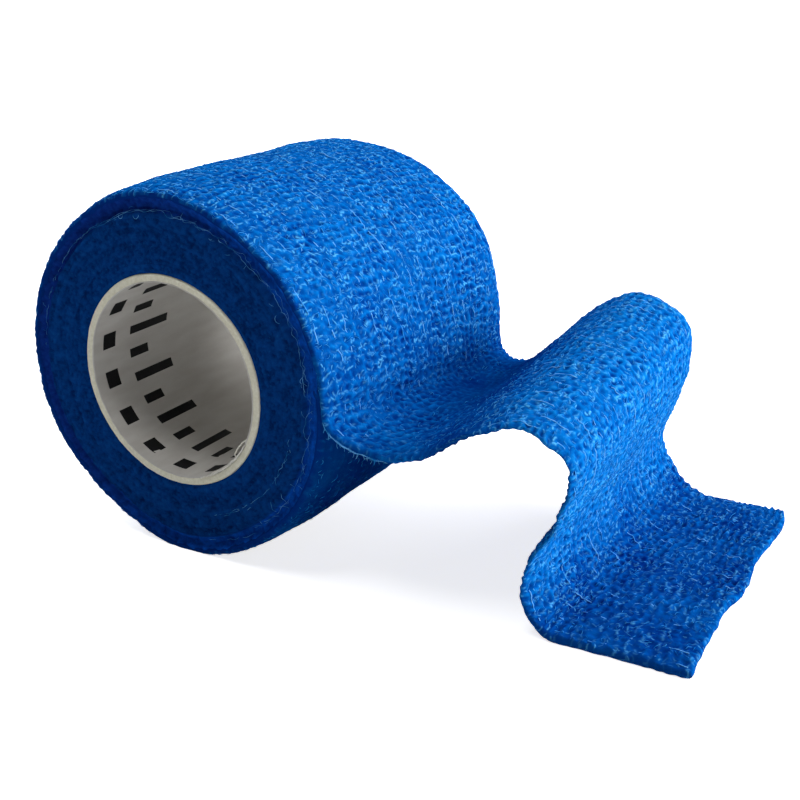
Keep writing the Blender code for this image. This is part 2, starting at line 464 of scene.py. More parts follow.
def above_table(points, gap=TABLE_GAP):
    """The same points, raised where they would go below the table."""
    points[..., 2] = np.maximum(points[..., 2], gap)
    return points


def all_round(steps, places):
    """A grid of angles all the way round by places."""
    return np.meshgrid(2 * np.pi * np.arange(steps) / steps, places, indexing="ij")


def face_y(side, setback, angle):
    """How far along Y the front (0) or back (1) face is, at an angle round the axis."""
    wander = FACE_WAVE * np.sin(FACE_WAVES * angle + side)
    if side == 0:
        return FRONT_FACE_Y + setback + wander
    return FRONT_FACE_Y + CLOTH_WIDTH - setback + wander


def root_angle(share):
    return between(ROOT_ANGLE_FRONT, ROOT_ANGLE_BACK, share)


def rim_radius(turned, share):
    """The outermost turn's radius, without the barrel's bulge."""
    return between(read_off(RIMS, 1, turned), read_off(RIMS, 2, turned), share)


def face_rim(turned, side):
    """Where a face ends, inside the outermost turn's lip."""
    return rim_radius(turned, float(side)) - FACE_INSIDE_RIM


def turned_rows():
    """Degrees round of the outermost turn's rows of points."""
    return np.arange(-9.0, 361.0, math.degrees(STEP_ALONG / TURN_STEP_RADIUS))


def turn_length(turned):
    """How far along the strip a place in the outermost turn is. The loose end's root is at 0."""
    return (turned - 360.0) * math.radians(1.0) * TURN_LENGTH_RADIUS


def ring_place(turned, share, inwards=0.0):
    """A point in the outermost turn: degrees round, share of the width, and depth below its top.

    The table presses the roll flat where it would go below.
    """
    angle = root_angle(share) - np.radians(turned)
    radius = rim_radius(turned, share) + read_off(BARREL, 1, share) - inwards
    front, back = (face_y(side, RIM_SET_BACK, angle) for side in (0, 1))
    return above_table(round_axis(radius, angle, between(front, back, share)))


def grid_normals(points):
    """Unit normals of a grid of points, outwards for rows along the strip and columns across."""
    return unit(np.cross(np.gradient(points, axis=0), np.gradient(points, axis=1)))


def across_columns():
    """Distances across the strip from its front edge, closer together at the rounded edges."""
    inner = np.linspace(EDGE_ROUND, CLOTH_WIDTH - EDGE_ROUND, round(CLOTH_WIDTH / STEP_ACROSS))
    edge = np.array(EDGE_COLUMNS)
    return np.concatenate(([0.0], edge, inner, (CLOTH_WIDTH - edge)[::-1], [CLOTH_WIDTH]))


def nearer_edge(v):
    """The distance from the strip's nearer edge, and which way along Y that edge faces."""
    return np.minimum(v, CLOTH_WIDTH - v), np.where(v < CLOTH_WIDTH / 2, *OUTWARDS)


def rounding(distance, radius=EDGE_ROUND):
    """How full the rounded edge is at a distance from its outermost line: 0 there, 1 past the radius."""
    t = 1.0 - np.clip(distance / radius, 0.0, 1.0)
    return np.sqrt(np.clip(1.0 - t * t, 0.0, 1.0))


# ---------- cloth


def shade_reach(u, v):
    """How far the table's painted shade applies: the dip beside the roll is paler near its front edge."""
    in_dip = eased((u + 4.0) / 4.0) * (1.0 - eased((u - 12.0) / 10.0))
    return 1.0 - 0.95 * in_dip * (1.0 - eased((v / CLOTH_WIDTH - 0.16) / 0.50))


def dark(u, v):
    """How much painted shade the cloth is given at a place on the strip."""
    return between(UNSHADED_DARK, read_off(STATE, DARKNESS, u), shade_reach(u, v))


def linty(u, v):
    """How much light lint shows at a place on the strip, from 0 to 1; less where the painted shade lies.
    """
    covered = (1.0 - read_off(STATE, LINT, u)) * (0.55 + 0.45 * shade_reach(u, v))
    return np.clip(1.0 - covered, 0.0, 1.0)


def cockle(u, v):
    """Slow unevenness of the cloth, from -1 to 1."""
    return 0.6 * noise(u / 9.0, v / 11.0, 71) + 0.4 * noise(u / 4.3, v / 5.2, 72)


def crinkle(u, v, seed=0):
    """The crinkled cloth's relief, from about -1 in its pits to 1 on its ridges, and the pits' grid.

    The grid's third number is how much light lint shows.
    """
    drift_u = 0.55 * noise(u / 3.1, v / 2.3, seed + 11) + 0.15 * noise(u / 1.2, v / 1.1, seed + 12)
    drift_v = 0.25 * noise(u / 2.7, v / 3.1, seed + 13)
    lane = (v + drift_v - THREAD_FIRST) / THREAD_PITCH
    grid = np.stack(((u + drift_u) / PIT_PITCH, 2.0 * lane, linty(u, v)), axis=-1)
    first, second = cells(grid[..., 0], grid[..., 1], seed + 21)
    wall = 1.0 - np.clip((second - first) / 0.55, 0.0, 1.0)
    pit = 1.0 - np.clip(first / 0.50, 0.0, 1.0)
    broken = 0.45 * noise(u / 5.0, v / 1.5, seed + 31)
    wrinkle = np.sin(2 * np.pi * (grid[..., 0] + broken))
    patch = 0.80 + 0.40 * noise(u / 3.7, v / 2.9, seed + 41)
    fine = noise(u / 0.70, v / 0.70, seed + 51)
    groove = np.exp(-(((lane - np.round(lane)) * THREAD_PITCH / 0.30) ** 2))
    relief = patch * (0.75 * wall - 0.85 * eased(pit) + 0.32 * wrinkle) + 0.25 * fine
    return relief - 0.30 * groove, grid


def outer_turn():
    """The outermost turn's skin with its rounded edges: points, normals, strip places and pit grid."""
    T, S = np.meshgrid(turned_rows(), across_columns() / CLOTH_WIDTH, indexing="ij")
    U, V = turn_length(T), S * CLOTH_WIDTH
    edge, outwards = nearer_edge(V)
    drop = EDGE_ROUND * (1.0 - rounding(edge))
    under_root = 0.5 * (1 - eased((T + 1.0) / 2.0))
    past_seam = 0.45 * eased((T - SEAM_AT - 0.5) / 4.5)
    points = ring_place(T, S, drop + under_root + past_seam)
    normals = grid_normals(ring_place(T, S))
    relief, grid = crinkle(U, V)
    loose = 0.2 + 0.8 * linty(U, V)
    height = RELIEF * loose * relief * rounding(edge, 1.6) + 0.25 * cockle(U, V) * rounding(edge, 4.0)
    points = points + normals * height[..., None]
    frayed = 0.14 * noise(U / 0.8, 0.5, 81) + 0.18 * noise(U / 2.3, 4.5, 82)
    hidden = 0.35 * eased((T - SEAM_AT - 2.0) / 4.0) + 0.9 * (1.0 - eased((T + 3.0) / 3.0))
    points[..., 1] += outwards * (frayed * loose * np.exp(-edge / 0.7) - hidden * np.exp(-edge / 1.5))
    # The strip places' third number is the relief less the painted shade.
    return above_table(points), normals, np.stack((U, V, relief - dark(U, V)), axis=-1), grid


def lip(points, side):
    """The skin's edge carried on round the cut edge of the turn and into the roll's face."""
    angle = root_angle(side) - np.radians(turned_rows())
    rim = points[:, -side]
    inwards = np.stack((-np.cos(angle), np.zeros_like(angle), -np.sin(angle)), -1)
    outwards = np.array((0.0, OUTWARDS[side], 0.0))
    return np.stack([above_table(rim + inwards * depth + outwards * out) for depth, out in LIP], axis=1)


# ---------- loose end


def loose_end_rows(share):
    """Points that the middle of the strip passes through at each share of the width: x and height."""
    rows = []
    for turned in ROOT_ROWS:
        rows.append(ring_place(np.full_like(share, turned), share, TURN_THICKNESS / 2)[:, [0, 2]])
    for front_x, front_z, back_x, back_z in LOOSE_END:
        rows.append(np.stack((between(front_x, back_x, share), between(front_z, back_z, share)), -1))
    rows.append(2 * rows[-1] - rows[-2])
    return np.stack(rows)


def along_rows(rows, t):
    """Points on the smooth curves through the rows, at places t counted in rows."""
    i = np.clip(np.floor(t).astype(int), 1, len(rows) - 3)
    before, start, end, after = (rows[i + step] for step in (-1, 0, 1, 2))
    return hermite(start, end, (end - before) / 2, (after - start) / 2, (t - i)[:, None, None])


def even_rows(rows):
    """The loose end's rows of points: places in rows, and distances from the root and the cut end."""
    first_t = 1.0 + (SHEET_FROM - ROOT_ROWS[1]) / ROOT_ROW_STEP
    dense = np.linspace(first_t, len(rows) - 2.0, COURSE_POINTS)
    line = along_rows(rows, dense)[:, rows.shape[1] // 2]
    arc = np.concatenate(([0.0], np.cumsum(np.hypot(*np.diff(line, axis=0).T))))
    length = arc[-1]
    even = np.linspace(0.0, length, round(length / STEP_ALONG) + 1)
    tips = length - np.array(EDGE_COLUMNS)[::-1]
    even = np.concatenate((even[even < length - EDGE_ROUND], tips, [length]))
    return np.interp(even, arc, dense), even - np.interp(ROOT_ROW, dense, arc), length - even


def loose_end_y(U, V, along, turned):
    """How far along Y the loose end is, with its ruffled and frayed edges and the nicks in one."""
    S = V / CLOTH_WIDTH
    edge, outwards = nearer_edge(V)
    side_row = SIDE_ROWS[0] + SIDE_ROWS[1] * outwards
    loose = eased(along * 4)
    y = ring_place(np.broadcast_to(turned, U.shape), S)[..., 1]
    y = y + SIDEWAYS_DRIFT * along + SPREAD * (2 * S - 1) * loose
    ruffle = 0.45 * noise(U / 2.6, side_row, 91) + 0.25 * noise(U / 1.1, side_row, 92)
    frayed = 0.22 * noise(U / 0.8, side_row, 81) + 0.10 * noise(U / 0.45, side_row, 93)
    calm = 1.0 - 0.65 * eased((U - 60.0) / 8.0)
    y = y + outwards * calm * (ruffle * loose * np.exp(-edge / 2.5) + frayed * np.exp(-edge / 0.7))
    y = y + END_SPREAD * S * eased((U - LYING_FROM) / 18.0)
    y = y - FRONT_BULGE * (1.0 - S) ** 3 * np.exp(-(((U - 3.0) / 5.0) ** 2))
    for place, depth, half_width in NICKS:
        y = y - (S > 0.5) * depth * np.exp(-(((U - place) / half_width) ** 2) - edge / 0.9)
    return y


def loose_end():
    """The loose end: normals, then points, strip places and pit grid of its top and its underside."""
    v = across_columns()
    rows = loose_end_rows(v / CLOTH_WIDTH)
    t, u, to_cut = even_rows(rows)
    middle = along_rows(rows, t)
    U, V = np.meshgrid(u, v, indexing="ij")
    t, to_cut = t[:, None], to_cut[:, None]
    along = np.clip((t - ROOT_ROW) / (len(rows) - 2.0 - ROOT_ROW), 0.0, 1.0)
    turned = np.clip(ROOT_ROWS[1] + (t - 1.0) * ROOT_ROW_STEP, 0.0, 360.0)
    edge, outwards = nearer_edge(V)
    loose = eased(along * 4)

    cut = read_off(CUT_END, 1, V / CLOTH_WIDTH) + 0.14 * noise(V / 1.3, 0.5, 94)
    x = middle[..., 0] + cut * np.exp(-to_cut / 5.0) * (t > CUT_FROM_ROW)
    surface = np.stack((x, loose_end_y(U, V, along, turned), middle[..., 1]), axis=-1)
    normals = grid_normals(surface)

    relief, grid = crinkle(U, V)
    relief_under, grid_under = crinkle(U, V, seed=500)
    fade = rounding(edge, 0.8) * np.minimum(1.0, to_cut / 0.8)
    lying = eased((U - LYING_FROM) / 8.0)
    deeper = 1.0 + 0.4 * read_off(STATE, RELAXED, U)
    curl = 0.45 * noise(U / 3.4, SIDE_ROWS[0] + SIDE_ROWS[1] * outwards, 95)
    curl = curl * np.exp(-edge / 1.6) * loose * (1 - 0.7 * lying)
    slow = 0.35 * cockle(U, V) * rounding(edge, 4.0) * (1 - 0.6 * lying) + curl
    half = 0.5 * between(TURN_THICKNESS, CLOTH_THICKNESS, eased(along / RELAXING_LENGTH))
    thinned = 1.0 - (1.0 - EDGE_THINNED) * loose * (1.0 - eased(edge / 2.4)) * (1.0 - lying)
    full = half * thinned * rounding(edge) * rounding(to_cut)
    sunk = 0.28 * (1 - eased((turned - SHEET_FROM) / (SEAM_AT - SHEET_FROM)))
    top = surface + normals * (slow + full - sunk + RELIEF * deeper * relief * fade)[..., None]
    under = surface + normals * (slow - full + RELIEF * relief_under * fade)[..., None]

    start = 1 - eased((turned - SHEET_FROM) / (SEAM_AT + 1.0 - SHEET_FROM))
    for skin in (top, under):
        skin[..., 1] -= outwards * 1.1 * start * np.exp(-edge / 2.0)
    top[..., 2] += np.maximum(TABLE_GAP - under[..., 2], 0.0) * (U > FREE_FROM)
    top[..., 2] = np.maximum(top[..., 2], above_table(under)[..., 2])
    # Painted light along the cut end, and painted shade on the lying part's long side walls.
    rim_light = 0.5 * np.exp(-to_cut / 0.8)
    wall_shade = 0.8 * lying * np.exp(-edge / 0.45)
    places = np.stack((U, V, relief - dark(U, V) + rim_light - wall_shade), axis=-1)
    places_under = np.stack((U, V + UNDERSIDE_OFFSET, relief_under - dark(U, V)), axis=-1)
    return normals, (top, places, grid), (under, places_under, grid_under)


# ---------- roll faces


def roll_face(side):
    """One face of the roll: the rounded edges of the wound turns, the ring step and the fuzz."""
    rings, steps = FACE_GRIDS[side]
    angle = root_angle(side) - 2 * np.pi * np.arange(steps) / steps
    A, H = np.meshgrid(angle, np.linspace(0.0, 1.0, rings), indexing="ij")
    turned = np.degrees(root_angle(side) - A)
    seam = eased((turned - FACE_SEAM_AT) / (360.0 - FACE_SEAM_AT))
    rim = face_rim(turned, side) * (1 - seam) + face_rim(0.0, side) * seam
    radius = between(FACE_HOLE, rim, H)
    count = (radius - CORE_RADIUS) / WOUND_PITCH + turned / 360.0
    turn_number = np.floor(count)
    round_edge = np.sqrt(np.clip(1.0 - (2 * (count - turn_number) - 1) ** 2, 0.0, 1.0))
    own = noise(turn_number * 7.7, A * 1.1 + 40, 101 + side) * 0.10
    own += noise(turn_number * 3.3, A * 3.0 + 20, 103 + side) * 0.05
    x, z = radius * np.cos(A), radius * np.sin(A)
    felt = 0.14 * noise(x / 0.8, z / 0.8, 105 + side) + 0.12 * noise(x / 0.4, z / 0.4, 107 + side)
    height = 0.07 * round_edge + own + felt - 0.10
    height *= np.clip(H / 0.05, 0.2, 1.0)
    y = face_y(side, read_off(FACE, 1, H), A) + OUTWARDS[side] * height
    points = above_table(round_axis(radius, A, y))
    ring = RING_SHOWN[side] * eased((H - RING_FROM) / 0.03)
    # Painted light on the ring step's right side, towards the lights, and painted shade on its left.
    lit_side = eased(0.5 + 0.8 * np.cos(A + 0.35))
    return points, np.stack((x, z, height * 5.0), axis=-1), np.stack((ring, lit_side, 0 * H), axis=-1)


# ---------- meshes


def add_object(name, data):
    thing = bpy.data.objects.new(name, data)
    bpy.context.scene.collection.objects.link(thing)
    return thing


def grid_faces(rows, columns, round_rows=False, round_columns=False, flip=False):
    """Quads between neighbouring rows and columns of a grid of points, which may close on itself."""
    near = np.arange(rows if round_rows else rows - 1)[:, None] * columns
    far = (near + columns) % (rows * columns)
    j = np.arange(columns if round_columns else columns - 1)
    following = (j + 1) % columns
    corners = (near + j, far + j, far + following, near + following)
    return np.stack(corners[::-1] if flip else corners, axis=-1).reshape(-1, 4).tolist()


def joined(parts):
    """Several sets of points and faces as one."""
    points, faces, start = [], [], 0
    for part_points, part_faces in parts:
        points.append(part_points)
        faces += [[index + start for index in face] for face in part_faces]
        start += len(part_points)
    return np.concatenate(points), faces


def make_piece(name, points, faces, material, node, fields, smooth):
    """A mesh piece in metres, with fields that its material reads, riding on the only body."""
    mesh = bpy.data.meshes.new(name)
    mesh.from_pydata((points.reshape(-1, 3) * MM).tolist(), [], faces)
    for field, values in fields.items():
        attribute = mesh.attributes.new(field, "FLOAT_VECTOR", "POINT")
        attribute.data.foreach_set("vector", values.reshape(-1).astype(np.float32))
    mesh.materials.append(material)
    if smooth:
        mesh.shade_smooth()
    piece = add_object(name, mesh)
    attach(piece, "root")
    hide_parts(node)
    return piece


def cloth_piece(name, points, faces, material, smooth=True, **fields):
    return make_piece(name, points, faces, material, "bandage", fields, smooth)


def paper_piece(name, points, faces, material, **fields):
    return make_piece(name, points, faces, material, "core", fields, True)


def tubes(paths, normals, radii, section=FLAT_TOPPED):
    """Thin strands along paths: points and faces. Paths are strand by step by coordinate."""
    along = unit(np.gradient(paths, axis=1))
    side = unit(np.cross(along, normals))
    up = np.cross(side, along)
    rings = [paths + (side * out + up * rise) * radii[..., None] for out, rise in section]
    points = above_table(np.stack(rings, axis=2), STRAND_GAP)
    strands, steps = paths.shape[:2]
    sides = len(section)
    k = np.arange(sides)
    first = (np.arange(strands) * steps * sides)[:, None]
    ring = first[..., None] + (np.arange(steps - 1) * sides)[:, None]
    near, near_next = ring + k, ring + (k + 1) % sides
    walls = np.stack((near, near_next, near_next + sides, near + sides), axis=-1).reshape(-1, 4)
    caps, ends = first + k[::-1], first + (steps - 1) * sides + k
    return points.reshape(-1, 3), walls.tolist() + caps.tolist() + ends.tolist()


def thread_tubes(paths):
    """Tubes along paths that have their own lengths and radii, thinner at their ends."""
    strands = []
    for path, radius in paths:
        up = np.tile(np.array((0.3, -0.8, 0.5)), (len(path), 1))
        radii = np.full((1, len(path)), radius)
        radii[0, [0, -1]] = radius * 0.4
        strands.append(tubes(path[None], up[None], radii, ROUND))
    return joined(strands)


def on_grid(field, row, column):
    """Values of a grid at places between its rows and columns."""
    i = np.clip(np.floor(row).astype(int), 0, field.shape[0] - 2)
    j = np.clip(np.floor(column).astype(int), 0, field.shape[1] - 2)
    f, g = (row - i)[..., None], (column - j)[..., None]
    low = field[i, j] * (1 - g) + field[i, j + 1] * g
    high = field[i + 1, j] * (1 - g) + field[i + 1, j + 1] * g
    return low * (1 - f) + high * f


def lint(points, normals, places, count, seed, margins, band=None):
    """Fine curved fibres that lie on a grid of cloth, all over it or in a band of its columns.

    They are sparser where the painted shade lies. Margins are the rows left bare at both ends.
    """
    draw = np.random.default_rng(seed)
    rows, columns = points.shape[:2]
    first, last = band or (6, columns - 7)
    row = draw.uniform(margins[0], rows - 1 - margins[1], 3 * count)
    column = draw.uniform(first + 1, last - 1, 3 * count)
    lot = draw.uniform(0, 1, 3 * count)
    u = np.interp(row, np.arange(rows), places[:, 0, 0])
    shown = lot < linty(u, column / columns * CLOTH_WIDTH)
    row, column = row[shown][:count], column[shown][:count]
    count = len(row)
    kind = draw.uniform(0, 1, count)
    heading = draw.uniform(0, 2 * np.pi, count)
    heading = np.where(kind < LINT_ACROSS, np.pi / 2 + draw.normal(0, 0.40, count), heading)
    heading = np.where(kind > LINT_ALONG, draw.normal(0, 0.30, count), heading)
    bend = draw.normal(0, 1.4, count)
    size = draw.uniform(0.6, 1.4, count) / STEP_ALONG
    k = np.linspace(-0.5, 0.5, LINT_STEPS)[None, :]
    turn = heading[:, None] + bend[:, None] * k
    step = size[:, None] / (LINT_STEPS - 1)
    row = np.clip(row[:, None] + np.cumsum(np.cos(turn) * step, axis=1), 1, rows - 2)
    column = np.clip(column[:, None] + np.cumsum(np.sin(turn) * step, axis=1), first, last)
    up = on_grid(normals, row, column)
    lifted = draw.uniform(0.02, 0.12, count)[:, None] * (1 - (2 * k) ** 2) + 0.01
    radius = draw.uniform(0.028, 0.045, count)[:, None] * (1 - 0.60 * (2 * k) ** 2)
    return tubes(on_grid(points, row, column) + up * lifted[..., None], up, radius, THREE_SIDED)


def elastic_lines(points, normals, places, first_row, last_row):
    """The elastic threads that run along the strip, seen where they come up between the wrinkles."""
    columns = points.shape[1]
    row = np.arange(first_row, last_row, THREAD_STRIDE)
    u = on_grid(places, row, np.full_like(row, columns / 2))[:, 0]
    lines = []
    for k in range(int((CLOTH_WIDTH - THREAD_FIRST) / THREAD_PITCH) + 1):
        nominal = THREAD_FIRST + THREAD_PITCH * k
        wander = 0.30 * noise(u / 4.0, k, 301) + 0.20 * noise(u, k, 302)
        v = np.clip(nominal + wander, THREAD_INSET, CLOTH_WIDTH - THREAD_INSET)
        column = np.interp(v, places[0, :, 1], np.arange(columns))
        up = on_grid(normals, row, column)
        shown = noise(u / 0.9, k * 3.7, 303) - 1.2 * (1.0 - linty(u, nominal))
        lifted = 0.40 * np.clip(shown - 0.10, -1.0, 0.14)
        lines.append((on_grid(points, row, column) + up * lifted[:, None], up))
    paths, ups = np.stack(lines, axis=1)
    return tubes(paths, ups, np.full(paths.shape[:2], THREAD_RADIUS))


# ---------- paper tube


def core_tube():
    """The paper tube with its cut ends, turned about the roll's axis."""
    inner = BORE_RADIUS + 0.16
    half = CORE_LENGTH / 2
    profile = np.array(
        (
            (inner, -half + 0.30),
            (inner + 0.04, -half + 0.12),
            (inner + 0.14, -half + 0.03),
            (inner + 0.32, -half),
            (inner + 0.55, -half + 0.01),
            (inner + 0.78, -half),
            (inner + 0.96, -half + 0.03),
            (CORE_RADIUS - 0.06, -half + 0.10),
            (CORE_RADIUS, -half + 0.25),
            (CORE_RADIUS, -half + 3.0),
            (CORE_RADIUS, 0.0),
        )
    )
    mirrored = profile[::-1][1:] * np.array((1, -1))
    bore = ((inner, half / 2), (inner, 0.0), (inner, -half / 2))
    loop = np.concatenate((profile, mirrored, bore))
    A, R = all_round(TUBE_STEPS, loop[:, 0])
    Y = np.broadcast_to(loop[:, 1], A.shape)
    end = np.clip((np.abs(Y) - half + 0.5) / 0.5, 0, 1)
    R = R + 0.05 * noise(A * 9, 1.5, 201) * end
    Y = Y + np.sign(Y) * 0.05 * noise(A * 30, R * 4, 202) * end
    faces = grid_faces(*A.shape, round_rows=True, round_columns=True, flip=True)
    faces = [face[-1:] + face[:-1] for face in faces]
    return round_axis(R, A, Y), faces, np.stack((A * CORE_RADIUS, Y, R - CORE_RADIUS), axis=-1)


def ply_radius(A, Y):
    """The inner ply's inside, with dents and the step where its spiral turns meet."""
    seam = (A / (2 * np.pi) - Y / PLY_LEAD) % 1.0
    step = 0.06 * eased(seam / 0.006) * (1 - eased((seam - 0.05) / 0.95))
    dents = 0.03 * noise(A * 6, Y / 6, 203) + 0.015 * noise(A * 18, Y / 2, 204)
    return PLY_RADIUS + dents + 0.05 - step


def core_liner():
    """The white inner ply of the tube: a thin sleeve whose edge is a little uneven at the cut ends."""
    half = CORE_LENGTH / 2 - 0.06
    along = np.concatenate(([-half], np.linspace(-half + 0.2, half - 0.2, 26), [half]))
    A, Y = all_round(PLY_STEPS, along)
    edge = np.clip((np.abs(Y) - half + 0.3) / 0.3, 0, 1)
    torn = np.exp(-(((A - TORN_AT) / TORN_SPAN) ** 2)) * (Y < 0) * edge
    ragged = noise(A * 38, 0.5, 206) + 0.5 * noise(A * 90, 3.5, 207)
    uneven = Y + np.sign(Y) * 0.07 * noise(A * 22, 0.5, 205) * edge + torn * (0.1 + 0.38 * ragged)
    inside = round_axis(ply_radius(A, Y) - torn * 0.22 * np.clip(1 + ragged, 0, 2), A, uneven)
    outside = round_axis(PLY_RADIUS + PLY_THICKNESS, A, uneven)
    points = np.concatenate((inside, outside[:, ::-1]), axis=1)
    faces = grid_faces(*points.shape[:2], round_rows=True, round_columns=True)
    places = np.stack((A * PLY_RADIUS, Y, A * 0), axis=-1)
    return points, faces, np.concatenate((places, places[:, ::-1]), axis=1)


def core_marks():
    """Plain squares and bars printed on the inner ply, as thin patches of ink."""
    patches, places = [], []
    for degrees, inset, span, width in MARK_SQUARES + MARK_BARS:
        angle = np.radians(np.linspace(degrees, degrees + span, MARK_POINTS))
        y = -CORE_LENGTH / 2 + np.linspace(inset, inset + width, MARK_POINTS)
        A, Y = np.meshgrid(angle, y, indexing="ij")
        patch = round_axis(ply_radius(A, Y) - MARK_LIFT, A, Y)
        patches.append((patch.reshape(-1, 3), grid_faces(MARK_POINTS, MARK_POINTS)))
        places.append(np.stack((A * BORE_RADIUS, Y, A * 0), axis=-1).reshape(-1, 3))
    return *joined(patches), np.concatenate(places)


def torn_ply():
    """The torn inner ply at the lower right of the front rim: a peeled curl and crumpled shreds."""
    paths = []
    for first, last, inwards, out, width, seed in TORN_SHREDS:
        degrees = np.arange(first, last, 1.0)
        t = (degrees - first) / (last - first)
        s = np.radians(degrees) * BORE_RADIUS
        rough = 0.10 * noise(s / 0.5, 0.5, 480 + seed) + 0.08 * noise(s / 0.25, 0.0, 490 + seed)
        r = BORE_RADIUS + 0.08 - inwards * np.sin(np.pi * np.sqrt(t)) + rough
        y = -CORE_LENGTH / 2 - out * np.sin(np.pi * t) + 0.10 * noise(s / 0.4, 3.5, 500 + seed)
        paths.append((round_axis(r, np.radians(degrees), y), width))
    return thread_tubes(paths)


# ---------- frayed threads


def face_level(degrees, radius):
    """How far along Y the front face's own level is at a place on it."""
    turned = (math.degrees(root_angle(0)) - degrees) % 360.0
    share = (radius - FACE_HOLE) / (face_rim(turned, 0) - FACE_HOLE)
    return face_y(0, read_off(FACE, 1, share - 0.04), np.radians(degrees))


def face_strand(arc, seed, outwards, wander, hidden):
    """A frayed thread that lies on the front face along an arc, and dips into the felt here and there."""
    degrees = np.arange(arc[0][0], arc[-1][0], 0.7)
    radius = read_off(arc, 1, degrees) + outwards
    s = np.radians(degrees) * radius
    radius = radius + wander * noise(s / 2.4, 0.5, seed) + 0.5 * wander * noise(s / 0.7, 0.0, seed + 1)
    shown = 0.8 * noise(s / 1.6, 0.5, seed + 2) + 0.5 * noise(s / 0.5, 0.5, seed + 3)
    y = face_level(degrees, radius) - 0.16 + 0.7 * np.clip(hidden - shown, -0.1, 0.7)
    return round_axis(radius, np.radians(degrees), y)


def face_curl(degrees, radius, heading, length, bend):
    """A short curved thread end that lies on the front face."""
    t = np.linspace(0.0, 1.0, 9)
    turn = np.radians(degrees + 90.0 + heading + bend * t)
    step = length / (len(t) - 1)
    x = radius * math.cos(math.radians(degrees)) + np.cumsum(np.cos(turn)) * step
    z = radius * math.sin(math.radians(degrees)) + np.cumsum(np.sin(turn)) * step
    place = np.degrees(np.arctan2(z, x))
    y = face_level(place, np.hypot(x, z)) - 0.14 - 0.20 * np.sin(np.pi * t)
    return np.stack((x, y, AXIS_HEIGHT + z), axis=-1)


def frayed_face():
    """All the frayed threads of the front face: strands, the curls that show most, and small ends."""
    draw = np.random.default_rng(61)
    paths = [(face_strand(*strand), radius) for *strand, radius in FACE_STRANDS]
    paths += [(face_curl(*curl), 0.030) for curl in FRAYED_CURLS]
    for k in range(FACE_ENDS):
        degrees = draw.uniform(-55, 178)
        radius = float(read_off(FRAYED_RING, 1, degrees)) + draw.normal(0, 0.18)
        heading = draw.normal(0, 30) + (180 if k % 2 else 0)
        curl = face_curl(degrees, radius, heading, draw.uniform(0.4, 1.0), draw.normal(0, 70))
        paths.append((curl, 0.020))
    return thread_tubes(paths)


def frayed_edge(edge, places):
    """Frayed threads along the near edge of the loose end where it leaves the roll."""
    draw = np.random.default_rng(62)
    paths = []
    for first, last in EDGE_STRANDS:
        inside = (places > first) & (places < last)
        wander = 0.28 * noise(places[inside] / 1.1, 0.5, 470 + int(first * 10))
        path = edge[inside] + np.array((0.0, -0.10, -0.12))
        path = path + wander[:, None] * np.array((0.2, -0.5, 1.0))
        path = path + draw.uniform(0.0, 0.25) * np.array((0.3, -0.6, -0.6))
        paths.append((path, 0.038))
    for _ in range(EDGE_ENDS):
        start = int(np.searchsorted(places, draw.uniform(2.2, 12.0)))
        t = np.linspace(0.0, 1.0, 7)
        turn = draw.uniform(-2.2, -0.6) + draw.normal(0, 1.6) * t
        step = draw.uniform(0.4, 1.0) / 6
        bent = np.stack((np.cumsum(np.cos(turn)), -0.4 * t, np.cumsum(np.sin(turn))), axis=-1)
        path = edge[start] + np.array((0.0, -0.08, 0.0))
        paths.append((path + bent * np.array((step, 1.0, step)), 0.030))
    return thread_tubes(paths)


# ---------- materials


